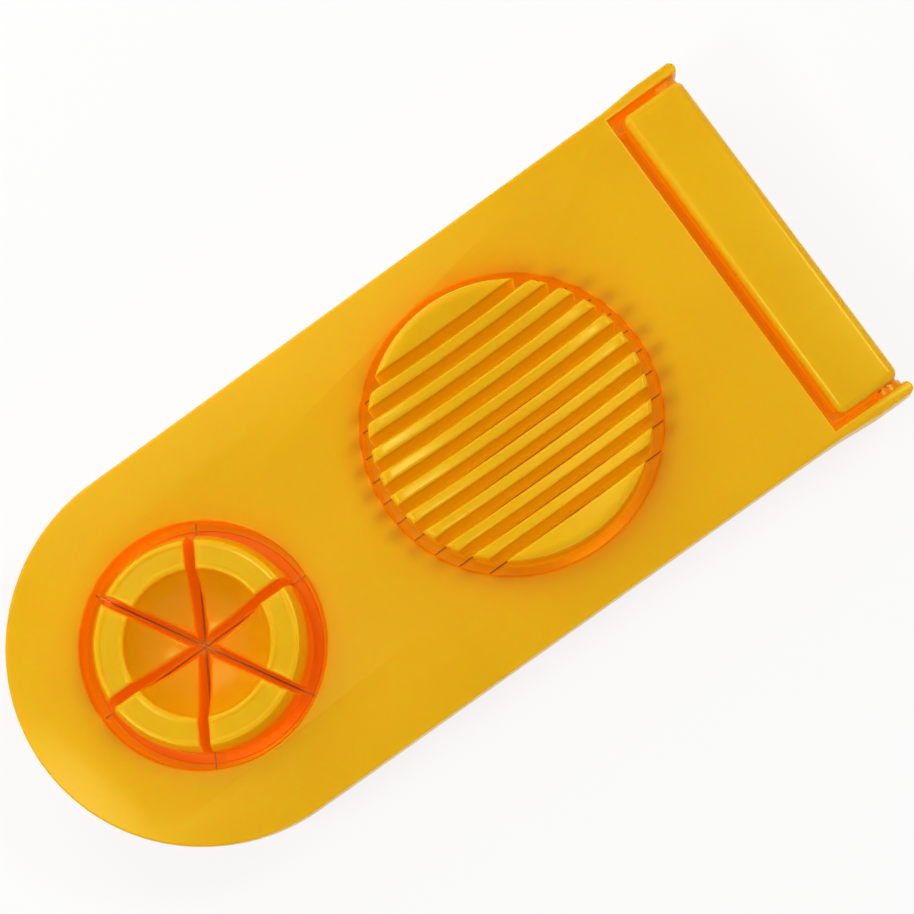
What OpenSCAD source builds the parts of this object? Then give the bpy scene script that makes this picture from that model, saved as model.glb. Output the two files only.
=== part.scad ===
// Two-in-one egg slicer: a base with a ribbed cradle and a six-part cup, and a hinged cutting
// frame whose wires pass down through their slots. Millimetres, +Z up, +X from the half-round
// front end towards the hinge, origin under the middle of the closed slicer on the table.

/* [Openings of the cutting frame] */
// Gap all round between the ribbed cradle and the slicing opening
cradle_gap = 2.35; // [1.8:0.05:3.4]
// Gap all round between the wedge cup and its opening
cup_gap = 3.4; // [2.6:0.1:4.6]
// Distance between the centres of the two openings
opening_pitch = 80.4; // [78:0.2:88]

/* [Cutting frame] */
// Land of the plate beside the slicing opening, out to the long edge
side_land = 10.75; // [10.4:0.05:12.6]
// Land of the plate around the wedge opening, out to the round front edge
front_land = 16.2; // [14:0.1:18]
// Distance from the slicing opening's centre to the plate's rear edge
rear_reach = 54.7; // [53:0.1:58]
// Height of the plate's top above the table when closed
plate_top = 26; // [25:0.5:32]
// Thickness of the cover plate
plate_t = 2.2; // [1.8:0.1:2.6]
// Depth of the skirt below the plate's top
skirt_depth = 6.5; // [5:0.1:7.5]
// Thickness of the skirt, and of the hinge arms before they splay
skirt_t = 2.1; // [1.6:0.1:2.5]
// Radius of the rounded upper edge of the two openings
open_edge_r = 0.6; // [0.3:0.1:1]
// How far the outer face of each hinge arm splays out from the plate's side
arm_splay = 0.7; // [0:0.1:1.2]
// Height of a hinge arm, which is also its round lower end's diameter
arm_h = 8.8; // [8.2:0.1:10]

/* [Wires] */
// Diameter of every cutting wire
wire_d = 0.35; // [0.3:0.05:0.6]
// Number of wires across the slicing opening
slice_wires = 10; // [8:1:10]
// Spacing of the slicing wires, and of the cradle's slots
wire_pitch = 5.05; // [4.6:0.05:5.2]
// Depth of the wires below the plate's top
wire_drop = 5.2; // [4.8:0.1:6]
// Diameter of the crimped bead at each end of a wire
bead_d = 1.2; // [1:0.1:1.4]
// Length of the crimped bead
bead_len = 1.2; // [1:0.1:1.4]
// Thickness of the two rings that clamp the wires
ring_t = 2.3; // [1.8:0.1:2.6]
// Radial width of the wedge wire ring
wedge_ring_w = 4.3; // [3.6:0.1:4.8]
// Diameter of the studs that hold the rings
stud_d = 1.4; // [1.2:0.1:1.6]

/* [Base] */
// How far the frame overhangs the base all round
overhang = 3.65; // [3.4:0.05:3.9]
// Thickness of the base's walls, deck and hinge block
wall = 2.2; // [1.8:0.1:2.4]
// Depth of the base's deck below the plate's top
deck_drop = 8.6; // [8.4:0.1:9.5]
// Gap between the plate's rear edge and the hinge block
block_gap = 2.2; // [1.8:0.1:2.6]
// Length of the hinge block along the tool
block_len = 15.3; // [14:0.1:18]
// Height of the hinge block above the plate's top
block_rise = 2; // [1:0.1:2.6]
// Radius of the block's rounded top edges and upright corners
block_edge_r = 2; // [1:0.1:2.6]
// Thickness of the ribs under the deck
rib_t = 1.8; // [1.4:0.1:2.4]
// Depth of the ribs below the deck
rib_h = 6; // [4:0.5:8]

/* [Slicing cradle] */
// Radius of the ribbed cradle
cradle_r = 29.8; // [28:0.1:30.2]
// Height of the cradle's rim above the plate's top
cradle_rise = 9.5; // [8:0.1:12]
// Depth of the hollow in the middle of the cradle
cradle_dip = 5; // [4.4:0.1:6]
// Width of the cradle's slots
slice_slot_w = 2.4; // [2:0.1:2.6]
// Radius of the cradle's rounded rim
cradle_edge_r = 1.2; // [0.8:0.1:1.6]

/* [Wedge cup] */
// Radius of the cup's upright outer wall
cup_r = 22.8; // [22:0.1:23.4]
// Height of the cup's ridges above the plate's top
cup_rise = 9; // [8:0.1:11]
// Radius of the outer ridge
outer_ridge_r = 20.9; // [20:0.1:21.2]
// Radius of the inner ridge, where the bowl begins
inner_ridge_r = 16.3; // [15:0.1:16.8]
// Radius of the bowl's sphere, which takes the blunt end of an egg
egg_end_r = 17.5; // [17:0.5:24]
// Height of the outer shoulder's upright part below the ridges
shoulder_drop = 4.2; // [3.4:0.1:5]
// Width of the cup's radial slots
wedge_slot_w = 1.9; // [1.7:0.1:2.2]

/* [Hinge] */
// Diameter of the two hinge pins
pin_d = 4; // [3.6:0.1:4.4]
// Distance from the block's rear face to the hinge axis
pin_inset = 3.3; // [3:0.1:4]
// Widest opening of the frame, where its heels meet the base's ledges
open_angle = 105; // [95:1:112]

/* [Hidden] */
$fn = 96;
// Running clearance of the pins in the arms
pin_clear = 0.05;
// Clearance between the parts that only pass each other
pass_clear = 0.3;
// Clearance of a wire or bead in its groove
wire_clear = 0.03;
// Fit of the two inserts in the deck
insert_clear = 0.05;
// Gap between the slicing wire ring and the base's rim
ring_clear = 0.6;
// Overcut that carries every cut past a face
cut = 1;

// The openings pass over the cradle and the cup
slice_open_r = cradle_r + cradle_gap;
wedge_open_r = cup_r + cup_gap;

// Radius of the frame's half-round front end, and half widths farther back
front_r = wedge_open_r + front_land;
slice_half_w = slice_open_r + side_land;
taper = (slice_half_w - front_r) / opening_pitch;
rear_half_w = slice_half_w + taper * rear_reach;

// Places along the tool, with the origin under the middle of its length
block_rear_reach = rear_reach + block_gap + block_len;
pivot_reach = block_rear_reach - pin_inset;
tip_r = arm_h / 2;
total_len = front_r + opening_pitch + pivot_reach + tip_r;
wedge_x = front_r - total_len / 2;
slice_x = wedge_x + opening_pitch;
rear_x = slice_x + rear_reach;
block_front_x = rear_x + block_gap;
block_rear_x = block_front_x + block_len;
pivot_x = slice_x + pivot_reach;

// Heights above the table
plate_low = plate_top - plate_t;
pivot_z = plate_top - tip_r;
deck_top = plate_top - deck_drop;
deck_low = deck_top - wall;
rim_top = plate_low - pass_clear;
block_top = plate_top + block_rise;
cradle_top = plate_top + cradle_rise;
cup_top = plate_top + cup_rise;
floor_top = deck_top + 1.2;

// Stiffening web under the plate's rear edge, inside the base's rim
web_depth = 2.4;
web_half_w = rear_half_w - overhang - wall - ring_clear;

// Wires: the collars end at the clamping plane, where the rings begin
clamp_z = plate_top - wire_drop - wire_d / 2;
wire_step = wire_d + 0.05;
slice_ring_w = side_land - overhang - wall - ring_clear;
bead_margin = 0.8;
// Deck left between the cradle's opening and the rib behind it
rib_margin = 3;

// Hinge: faces of the arms, and the block between them
arm_in_y = rear_half_w - skirt_t;
arm_out_y = rear_half_w + arm_splay;
// Radius of the upright corners of an arm's end, which leaves a narrow flat between them
arm_corner_r = (arm_out_y - arm_in_y) / 2 - 0.1;
block_half_w = rear_half_w - overhang;
boss_in_y = block_half_w + pass_clear;
boss_r = pin_d / 2 + 1.2;
arm_skin = 0.9;
pin_out_y = arm_out_y - arm_skin - 0.2;
pin_root = 8;
splay_len = 9;
// The heel is the squared upper corner of the arm's end; it meets the ledge just past the limit
heel_r = sqrt(2) * tip_r;
past_limit = 3;
ledge_top = pivot_z - heel_r * sin(open_angle + past_limit - 45);
ledge_t = 4;
// The ledges start ahead of the plate's rear edge and end inside the frame's sides
ledge_lead = 3;
ledge_inset = 0.4;

// Underside pockets of the inserts, and the flange that rests on the deck
flange_w = 2.2;
skin = 1.8;
pocket_top = deck_top - 0.4;

BASE_NODES = ["base_tray", "slicing_cradle", "wedge_cup", "hinge_pin_left", "hinge_pin_right"];
FRAME_NODES = ["cutting_frame", "slicing_wire_ring", "wedge_wire_ring"];
SLICE_WIRE_NODES = ["slicing_wire_01", "slicing_wire_02", "slicing_wire_03", "slicing_wire_04",
    "slicing_wire_05", "slicing_wire_06", "slicing_wire_07", "slicing_wire_08", "slicing_wire_09",
    "slicing_wire_10"];
WEDGE_WIRE_NODES = ["wedge_wire_1", "wedge_wire_2", "wedge_wire_3"];

PLASTIC = "gold";
STEEL = "silver";

// ---- shared outlines and cuts ----

// Outline seen from above, set in from the frame's edge, and cut off square at x_end. Behind the
// plate's rear edge its sides run straight back
module outline(inset, x_end) {
    y_front = front_r - inset;
    x_bend = min(x_end, rear_x);
    y_end = y_front + taper * (x_bend - wedge_x);
    tail = x_end > rear_x ? [[x_end, -y_end], [x_end, y_end]] : [];
    translate([wedge_x, 0]) circle(r = y_front);
    polygon(concat([[wedge_x, -y_front], [x_bend, -y_end]], tail,
        [[x_bend, y_end], [wedge_x, y_front]]));
}

module slab(inset, x_end, z_low, z_high) {
    translate([0, 0, z_low]) linear_extrude(z_high - z_low) outline(inset, x_end);
}

module disc(x, r, z_low, z_high) {
    translate([x, 0, z_low]) cylinder(r = r, h = z_high - z_low);
}

// A bar along Y
module y_rod(x, z, r, y_low, y_high) {
    translate([x, y_low, z]) rotate([-90, 0, 0]) cylinder(r = r, h = y_high - y_low);
}

// Half the length of the chord at offset y in a circle of radius r
function half_chord(r, y) = sqrt(r * r - y * y);

// Offset of slicing wire i from the tool's centreline
function wire_y(i) = (i - (slice_wires - 1) / 2) * wire_pitch;

// Direction of wedge wire i
function wedge_angle(i) = 60 * i;

// Radius of the circle on which the wire beads sit
function bead_reach(open_r, ring_w) = open_r + ring_w - bead_margin - bead_len / 2;

// One straight wire along X with a bead at each end, grown by gap when it is used as a cut
module wire_body(half_len, gap) {
    translate([-half_len, 0, 0]) rotate([0, 90, 0]) cylinder(d = wire_d + 2 * gap, h = 2 * half_len);
    for (side = [-1, 1])
        translate([side * half_len - bead_len / 2 - gap, 0, 0]) rotate([0, 90, 0])
            cylinder(d = bead_d + 2 * gap, h = bead_len + 2 * gap);
}

// The groove a wire lies in: open downwards to the clamping plane
module wire_groove(half_len, z_wire) {
    wire_body(half_len, wire_clear);
    translate([-half_len, -wire_d / 2 - wire_clear, clamp_z - z_wire - cut])
        cube([2 * half_len, wire_d + 2 * wire_clear, z_wire - clamp_z + cut]);
    for (side = [-1, 1])
        translate([side * half_len - bead_len / 2 - wire_clear, -bead_d / 2 - wire_clear,
            clamp_z - z_wire - bead_d])
            cube([bead_len + 2 * wire_clear, bead_d + 2 * wire_clear, z_wire - clamp_z + bead_d]);
}

module place_slice_wire(i) {
    translate([slice_x, wire_y(i), clamp_z + wire_d / 2]) children();
}

function wedge_wire_z(i) = clamp_z + wire_d / 2 + i * wire_step;

module place_wedge_wire(i) {
    translate([wedge_x, 0, wedge_wire_z(i)]) rotate([0, 0, wedge_angle(i)]) children();
}

function slice_wire_half(i) = half_chord(bead_reach(slice_open_r, slice_ring_w), wire_y(i));

module all_wire_grooves() {
    for (i = [0 : slice_wires - 1])
        place_slice_wire(i) wire_groove(slice_wire_half(i), clamp_z + wire_d / 2);
    for (i = [0 : 2])
        place_wedge_wire(i) wire_groove(bead_reach(wedge_open_r, wedge_ring_w), wedge_wire_z(i));
}

// Studs under each collar: beside the outer wires, or between the wedge wires
SLICE_STUD_ANGLES = [60, 90, 120, 240, 270, 300];
WEDGE_STUD_ANGLES = [30, 90, 150, 210, 270, 330];

module studs(d, z_low, z_high) {
    for (a = SLICE_STUD_ANGLES)
        translate([slice_x, 0, z_low]) rotate(a) translate([slice_open_r + slice_ring_w / 2, 0])
            cylinder(d = d, h = z_high - z_low, $fn = 32);
    for (a = WEDGE_STUD_ANGLES)
        translate([wedge_x, 0, z_low]) rotate(a) translate([wedge_open_r + wedge_ring_w / 2, 0])
            cylinder(d = d, h = z_high - z_low, $fn = 32);
}

// ---- base ----

// Raised block with rounded top edges and rounded upright corners
module hinge_block() {
    intersection() {
        translate([0, 0, deck_low]) linear_extrude(block_top - deck_low)
            rounded_box(block_front_x, block_rear_x, block_half_w, block_edge_r);
        translate([0, block_half_w, 0]) rotate([90, 0, 0]) linear_extrude(2 * block_half_w)
            tabletop(block_front_x, block_rear_x, block_top, block_edge_r);
        translate([block_front_x, 0, 0]) rotate([90, 0, 90]) linear_extrude(block_len)
            tabletop(-block_half_w, block_half_w, block_top, block_edge_r);
    }
}

module rounded_box(x_low, x_high, half_w, r) {
    translate([x_low + r, -half_w]) square([x_high - x_low - 2 * r, 2 * half_w]);
    translate([x_low, -half_w + r]) square([x_high - x_low, 2 * half_w - 2 * r]);
    for (x = [x_low + r, x_high - r], y = [-half_w + r, half_w - r])
        translate([x, y]) circle(r = r, $fn = 48);
}

// Upright outline with two rounded upper corners
module tabletop(low, high, top, r) {
    translate([low, 0]) square([high - low, top - r]);
    translate([low + r, 0]) square([high - low - 2 * r, top]);
    for (x = [low + r, high - r])
        translate([x, top - r]) circle(r = r, $fn = 48);
}

// Bosses inside the block that hold the pins, one on each side
module pin_bosses() {
    for (side = [-1, 1])
        translate([pivot_x, side * (block_half_w - wall / 2), pivot_z]) rotate([side * 90, 0, 0])
            cylinder(r = boss_r, h = pin_root);
}

module pin_bores() {
    for (side = [-1, 1])
        translate([pivot_x, side * (block_half_w + cut), pivot_z]) rotate([side * 90, 0, 0])
            cylinder(d = pin_d, h = pin_root - 0.5 + cut);
}

// Ledges under the arms, which close the gaps beside the block and stop the arms' heels
module ledges() {
    root_y = block_half_w - wall / 2;
    for (side = [0, 1])
        mirror([0, side, 0])
            translate([rear_x - ledge_lead, root_y, ledge_top - ledge_t])
                cube([block_rear_x - rear_x + ledge_lead, rear_half_w - ledge_inset - root_y, ledge_t]);
}

module deck_ribs() {
    rib_low = deck_low - rib_h;
    x_mid = (wedge_x + cup_r + slice_x - cradle_r) / 2;
    x_back = slice_x + cradle_r + wall + rib_margin;
    for (x = [x_mid, x_back])
        translate([x - rib_t / 2, -block_half_w + wall, rib_low])
            cube([rib_t, 2 * (block_half_w - wall), deck_low - rib_low + cut / 2]);
    for (y = [-block_half_w / 2, block_half_w / 2])
        translate([x_back, y - rib_t / 2, rib_low])
            cube([block_front_x - x_back + wall / 2, rib_t, deck_low - rib_low + cut / 2]);
}

module base_tray() {
    color(PLASTIC)
    difference() {
        union() {
            difference() {
                union() {
                    slab(overhang, block_rear_x, 0, deck_top);
                    slab(overhang, block_front_x + block_edge_r, 0, rim_top);
                    hinge_block();
                }
                // hollow underside, up to the deck and into the block
                slab(overhang + wall, block_rear_x - wall, -cut, deck_low);
                translate([block_front_x + wall, -block_half_w + wall, deck_low - cut])
                    cube([block_len - 2 * wall, 2 * (block_half_w - wall),
                        block_top - wall - deck_low + cut]);
                // shallow tray on top of the deck, inside the rim
                slab(overhang + wall, block_front_x, deck_top, rim_top + cut);
            }
            pin_bosses();
            ledges();
            deck_ribs();
        }
        pin_bores();
        disc(slice_x, cradle_r + insert_clear, deck_low - cut, deck_top + cut);
        disc(wedge_x, cup_r + insert_clear, deck_low - cut, deck_top + cut);
    }
}

// ---- slicing cradle ----

// Half section of the cradle: upright wall, rounded rim and the shallow hollow
module cradle_section() {
    bowl_r = (pow(cradle_r - 1.6 * cradle_edge_r, 2) + cradle_dip * cradle_dip) / (2 * cradle_dip);
    difference() {
        union() {
            square([cradle_r, cradle_top - cradle_edge_r]);
            square([cradle_r - cradle_edge_r, cradle_top]);
            translate([cradle_r - cradle_edge_r, cradle_top - cradle_edge_r])
                circle(r = cradle_edge_r, $fn = 48);
        }
        translate([0, cradle_top - cradle_dip + bowl_r]) circle(r = bowl_r, $fn = 360);
        translate([-2 * cradle_r, -cut]) square([2 * cradle_r, 2 * cradle_top]);
        translate([-cut, -cut]) square([2 * cradle_r, deck_low + cut]);
    }
}

module slicing_cradle() {
    crescent_y = wire_y(slice_wires - 1) + slice_slot_w / 2 + skin;
    color(PLASTIC)
    translate([slice_x, 0, 0])
    difference() {
        union() {
            rotate_extrude() cradle_section();
            disc(0, cradle_r + flange_w, deck_top, floor_top);
        }
        // ten slots for the wires
        for (i = [0 : slice_wires - 1])
            translate([-cradle_r - cut, wire_y(i) - slice_slot_w / 2, floor_top])
                cube([2 * (cradle_r + cut), slice_slot_w, cradle_top]);
        // hollow underside, deeper under the two end crescents
        disc(0, cradle_r - skin, deck_low - cut, pocket_top);
        for (side = [0, 180])
            rotate([0, 0, side]) intersection() {
                disc(0, cradle_r - skin, deck_low, cradle_top - cradle_dip - skin);
                translate([-cradle_r, crescent_y, deck_low]) cube([2 * cradle_r, cradle_r, cradle_top]);
            }
    }
}

// ---- wedge cup ----

// Half section of the cup: upright wall, sloping shoulder, two ridges and the egg bowl
module cup_section() {
    ridge_r = 0.9;
    land_drop = 0.15;
    bowl_z = cup_top - land_drop + half_chord(egg_end_r, inner_ridge_r - ridge_r / 2);
    difference() {
        union() {
            polygon([[0, deck_low], [cup_r, deck_low], [cup_r, cup_top - shoulder_drop],
                [outer_ridge_r + 0.7 * ridge_r, cup_top - 0.3 * ridge_r],
                [outer_ridge_r, cup_top - land_drop], [0, cup_top - land_drop]]);
            for (r = [inner_ridge_r, outer_ridge_r])
                translate([r, cup_top - ridge_r]) circle(r = ridge_r, $fn = 32);
        }
        translate([0, bowl_z]) circle(r = egg_end_r, $fn = 240);
        translate([-2 * cup_r, 0]) square([2 * cup_r, 2 * cup_top]);
    }
}

module cup_slots(w, z_low) {
    for (a = [0, 60, 120])
        rotate([0, 0, a]) translate([-cup_r - cut, -w / 2, z_low]) cube([2 * (cup_r + cut), w, cup_top]);
}

// Space inside the sectors, kept a skin away from every outer face
module cup_pocket() {
    bowl_low = cup_top - egg_end_r + half_chord(egg_end_r, inner_ridge_r) - skin;
    difference() {
        rotate_extrude()
            polygon([[0, pocket_top - cut], [cup_r - skin, pocket_top - cut],
                [cup_r - skin, cup_top - shoulder_drop - skin], [inner_ridge_r, cup_top - 2 * skin - 0.6],
                [inner_ridge_r / 2, bowl_low], [0, bowl_low - skin / 2]]);
        cup_slots(wedge_slot_w + 2 * skin, deck_low - cut);
    }
}

module wedge_cup() {
    color(PLASTIC)
    translate([wedge_x, 0, 0])
    difference() {
        union() {
            rotate_extrude() cup_section();
            disc(0, cup_r + flange_w, deck_top, floor_top);
        }
        cup_slots(wedge_slot_w, floor_top);
        disc(0, cup_r - skin, deck_low - cut, pocket_top);
        cup_pocket();
    }
}

// ---- hinge pins ----

// A short pin with a chamfered nose, pressed in the block and reaching into the arm
module hinge_pin(side) {
    pin_in_y = block_half_w - pin_root + 0.5;
    chamfer = 0.4;
    color(STEEL)
    translate([pivot_x, 0, pivot_z]) rotate([-90 * side, 0, 0])
        rotate_extrude()
            polygon([[0, pin_in_y], [pin_d / 2, pin_in_y], [pin_d / 2, pin_out_y - chamfer],
                [pin_d / 2 - chamfer, pin_out_y], [0, pin_out_y]]);
}

// ---- cutting frame ----

// Outline of the whole frame: the half-round front, the long sides, and the arms splayed outwards
module frame_outline(x_end) {
    bend_x = rear_x + splay_len;
    translate([wedge_x, 0]) circle(r = front_r);
    polygon([[wedge_x, -front_r], [rear_x, -rear_half_w], [bend_x, -arm_out_y], [x_end, -arm_out_y],
        [x_end, arm_out_y], [bend_x, arm_out_y], [rear_x, rear_half_w], [wedge_x, front_r]]);
}

// Plan of the walls, with the upright corners of the arms' ends rounded
module wall_plan() {
    end_x = pivot_x + tip_r;
    r = arm_corner_r;
    difference() {
        frame_outline(end_x);
        outline(skirt_t, end_x + cut);
        for (side = [-1, 1])
            corner_waste(end_x - r, side * (arm_out_y - r), r, side);
        for (side = [-1, 1])
            corner_waste(end_x - r, side * (arm_in_y + r), r, -side);
    }
}

// What is left of a square beyond a rounded corner that faces +X and, in Y, the given side
module corner_waste(x, y, r, side) {
    translate([x, y]) difference() {
        translate([0, side > 0 ? 0 : -2 * r]) square(2 * r);
        circle(r = r, $fn = 32);
    }
}

// Side view of the walls: the skirt, the deepening toward the hinge, and the arm's round end
// with its squared heel
module wall_side() {
    low = plate_top - skirt_depth;
    front = wedge_x - front_r - cut;
    translate([pivot_x, pivot_z]) circle(r = tip_r);
    translate([pivot_x, pivot_z]) square([tip_r, tip_r]);
    polygon([[front, plate_top], [front, low], [rear_x - splay_len, low],
        [rear_x, plate_top - arm_h], [pivot_x, plate_top - arm_h], [pivot_x, plate_top]]);
}

// Skirt and hinge arms in one wall
module walls() {
    intersection() {
        translate([0, 0, plate_top - arm_h - cut]) linear_extrude(arm_h + cut) wall_plan();
        translate([0, arm_out_y + cut, 0]) rotate([90, 0, 0])
            linear_extrude(2 * (arm_out_y + cut)) wall_side();
    }
}

// Boss on the inside of each arm
module arm_boss(side) {
    mirror([0, side, 0])
        y_rod(pivot_x, pivot_z, boss_r, boss_in_y, arm_out_y - skirt_t / 2);
}

// Rounded upper edge of an opening, as the ring of material to take away
module edge_round(x, r) {
    translate([x, 0, plate_top]) rotate_extrude() difference() {
        translate([r - cut, -open_edge_r]) square([open_edge_r + cut, open_edge_r + cut]);
        translate([r + open_edge_r, -open_edge_r]) circle(r = open_edge_r, $fn = 32);
    }
}

module cutting_frame() {
    color(PLASTIC)
    difference() {
        union() {
            slab(0, rear_x, plate_low, plate_top);
            walls();
            // collar round each opening, down to the clamping plane
            disc(slice_x, slice_open_r + slice_ring_w, clamp_z, plate_low + cut / 2);
            disc(wedge_x, wedge_open_r + wedge_ring_w, clamp_z, plate_low + cut / 2);
            // stiffening web along the rear edge
            translate([rear_x - skirt_t, -web_half_w, plate_low - web_depth])
                cube([skirt_t, 2 * web_half_w, web_depth + cut / 2]);
            arm_boss(0);
            arm_boss(1);
            studs(stud_d, clamp_z - ring_t, clamp_z + cut / 2);
        }
        disc(slice_x, slice_open_r, clamp_z - cut, plate_top + cut);
        disc(wedge_x, wedge_open_r, clamp_z - cut, plate_top + cut);
        edge_round(slice_x, slice_open_r);
        edge_round(wedge_x, wedge_open_r);
        all_wire_grooves();
        for (side = [-1, 1])
            translate([pivot_x, side * (boss_in_y - cut), pivot_z]) rotate([-90 * side, 0, 0])
                cylinder(r = pin_d / 2 + pin_clear, h = arm_out_y - arm_skin - boss_in_y + cut);
    }
}

module clamp_ring(x, open_r, ring_w) {
    color(PLASTIC)
    difference() {
        disc(x, open_r + ring_w, clamp_z - ring_t, clamp_z);
        disc(x, open_r, clamp_z - ring_t - cut, clamp_z + cut);
        studs(stud_d + 0.1, clamp_z - ring_t - cut, clamp_z + cut);
        bead_pockets();
    }
}

// Pockets in the rings for the lower halves of the beads
module bead_pockets() {
    for (i = [0 : slice_wires - 1], side = [-1, 1])
        place_slice_wire(i) bead_pocket(side * slice_wire_half(i));
    for (i = [0 : 2], side = [-1, 1])
        place_wedge_wire(i) bead_pocket(side * bead_reach(wedge_open_r, wedge_ring_w));
}

module bead_pocket(x) {
    translate([x - bead_len / 2 - wire_clear, 0, 0]) rotate([0, 90, 0])
        cylinder(d = bead_d + 2 * wire_clear, h = bead_len + 2 * wire_clear, $fn = 32);
}

module slicing_wire_ring() {
    clamp_ring(slice_x, slice_open_r, slice_ring_w);
}

module wedge_wire_ring() {
    clamp_ring(wedge_x, wedge_open_r, wedge_ring_w);
}

// ---- wires ----

module slicing_wire(i) {
    color(STEEL) place_slice_wire(i) wire_body(slice_wire_half(i), 0);
}

module wedge_wire(i) {
    color(STEEL) place_wedge_wire(i) wire_body(bead_reach(wedge_open_r, wedge_ring_w), 0);
}

base_tray();
slicing_cradle();
wedge_cup();
hinge_pin(1);  // hinge_pin_left
hinge_pin(-1);  // hinge_pin_right
cutting_frame();
slicing_wire_ring();
wedge_wire_ring();
for (i = [0 : slice_wires - 1])
    slicing_wire(i);
for (i = [0 : 2])
    wedge_wire(i);
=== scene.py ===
"""Two-in-one egg slicer, closed, lying on a plain white surface under soft studio light.

The base carries a ribbed cradle and a six-part cup; the hinged cutting frame lies over them with
its ten slicing wires and three wedge wires in their slots. Sizes are in millimetres, in the
part's own frame: +X towards the hinge, +Z up, origin under the middle of the closed slicer.
"""

import logging
import math
from dataclasses import dataclass, field
from enum import Enum
from typing import Callable, Iterable, Sequence

import bmesh
import bpy
from mathutils import Euler, Matrix, Vector

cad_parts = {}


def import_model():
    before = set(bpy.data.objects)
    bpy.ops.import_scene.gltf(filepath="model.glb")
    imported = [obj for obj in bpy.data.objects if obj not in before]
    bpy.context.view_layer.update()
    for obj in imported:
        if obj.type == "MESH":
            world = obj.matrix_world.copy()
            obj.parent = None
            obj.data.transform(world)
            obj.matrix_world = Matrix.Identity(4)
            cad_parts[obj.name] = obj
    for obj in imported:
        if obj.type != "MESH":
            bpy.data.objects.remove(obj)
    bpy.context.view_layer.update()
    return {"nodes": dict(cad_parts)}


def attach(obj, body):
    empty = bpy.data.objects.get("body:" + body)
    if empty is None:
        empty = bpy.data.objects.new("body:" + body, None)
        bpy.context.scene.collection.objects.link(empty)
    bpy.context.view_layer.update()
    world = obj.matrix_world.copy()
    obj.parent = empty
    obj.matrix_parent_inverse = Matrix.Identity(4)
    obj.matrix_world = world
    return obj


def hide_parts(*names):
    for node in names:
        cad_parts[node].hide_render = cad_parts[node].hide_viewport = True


LOG = logging.getLogger("egg_slicer")
MM = 0.001
# Parts of the wedge cup
CUP_PARTS = 6
# Number of steps round a full circle
ROUND_STEPS = 128
# Steps across a rounded edge, and across the cradle's rounded rim
EDGE_STEPS = 5
RIM_STEPS = 6
# Angle between two faces, in degrees, from which their edge stays sharp
CREASE_DEG = 32
SOFT_CREASE_DEG = 40
# Overlap that lets one solid be added to the next, and overcut of what is taken away
BITE = 0.3
OVERCUT = 1
# Step back that keeps an added solid's face out of the plane of its neighbour's
STEP_BACK = 0.02
# Tolerance for telling whether a point lies on a face or circle
NEAR = 0.01
Point2 = tuple[float, float]
Point3 = tuple[float, float, float]


class Body(Enum):
    """The two bodies that the hinge joins."""

    BASE = "base"
    FRAME = "swing_frame"


class Slot(Enum):
    """Material slots of the part's record."""

    PLASTIC = "yellow_plastic"
    STEEL = "steel"


class Cut(Enum):
    """How a second solid changes the first."""

    ADD = "UNION"
    TAKE = "DIFFERENCE"
    KEEP = "INTERSECT"


# ---- colours and shader nodes ----


def linear(hex_colour: str) -> tuple[float, float, float, float]:
    """Turns an sRGB colour into linear light.

    Args:
        hex_colour: Six hex digits.

    Returns:
        Red, green, blue and an alpha of one.
    """
    parts = [int(hex_colour[i : i + 2], 16) / 255 for i in (0, 2, 4)]
    light = [c / 12.92 if c <= 0.04045 else ((c + 0.055) / 1.055) ** 2.4 for c in parts]
    return (light[0], light[1], light[2], 1.0)


def add_node(
    tree: bpy.types.NodeTree,
    kind: str,
    settings: dict[str, object] | None = None,
    inputs: dict[str | int, object] | None = None,
) -> bpy.types.Node:
    """Adds a shader node, sets it up and links its inputs.

    Args:
        tree: Node tree that gets the node.
        kind: Blender's name of the node's type.
        settings: Properties of the node itself.
        inputs: Values of its inputs, or the output sockets that feed them.

    Returns:
        The new node.
    """
    node = tree.nodes.new(kind)
    for name, value in (settings or {}).items():
        setattr(node, name, value)
    for name, value in (inputs or {}).items():
        if isinstance(value, bpy.types.NodeSocket):
            tree.links.new(value, node.inputs[name])
        else:
            node.inputs[name].default_value = value
    return node


def node_material(name: str) -> tuple[bpy.types.Material, bpy.types.NodeTree]:
    """Makes a material with an empty node tree.

    Args:
        name: The material and its finish.

    Returns:
        The material and its tree.
    """
    mat = bpy.data.materials.new(name)
    mat.use_nodes = True
    mat.node_tree.nodes.clear()
    return mat, mat.node_tree


def noise(tree: bpy.types.NodeTree, size_mm: float, **inputs: float) -> bpy.types.NodeSocket:
    """Adds a noise pattern that is fixed to the object.

    Args:
        tree: Node tree that gets the pattern.
        size_mm: Distance from one patch to the next.
        inputs: Other values of the pattern, such as its detail.

    Returns:
        The pattern's output.
    """
    spot = add_node(tree, "ShaderNodeTexCoord").outputs["Object"]
    values = {"Vector": spot, "Scale": 1 / (size_mm * MM), **inputs}
    return add_node(tree, "ShaderNodeTexNoise", inputs=values).outputs[0]


def map_range(
    tree: bpy.types.NodeTree, value: bpy.types.NodeSocket, start: Point2, end: Point2
) -> bpy.types.NodeSocket:
    """Maps one range of values onto another.

    Args:
        tree: Node tree that gets the node.
        value: Output socket to map.
        start: Range of its values.
        end: Range to map them onto.

    Returns:
        The mapped value.
    """
    limits = {"From Min": start[0], "From Max": start[1], "To Min": end[0], "To Max": end[1]}
    return add_node(tree, "ShaderNodeMapRange", inputs={"Value": value, **limits}).outputs[0]


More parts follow.
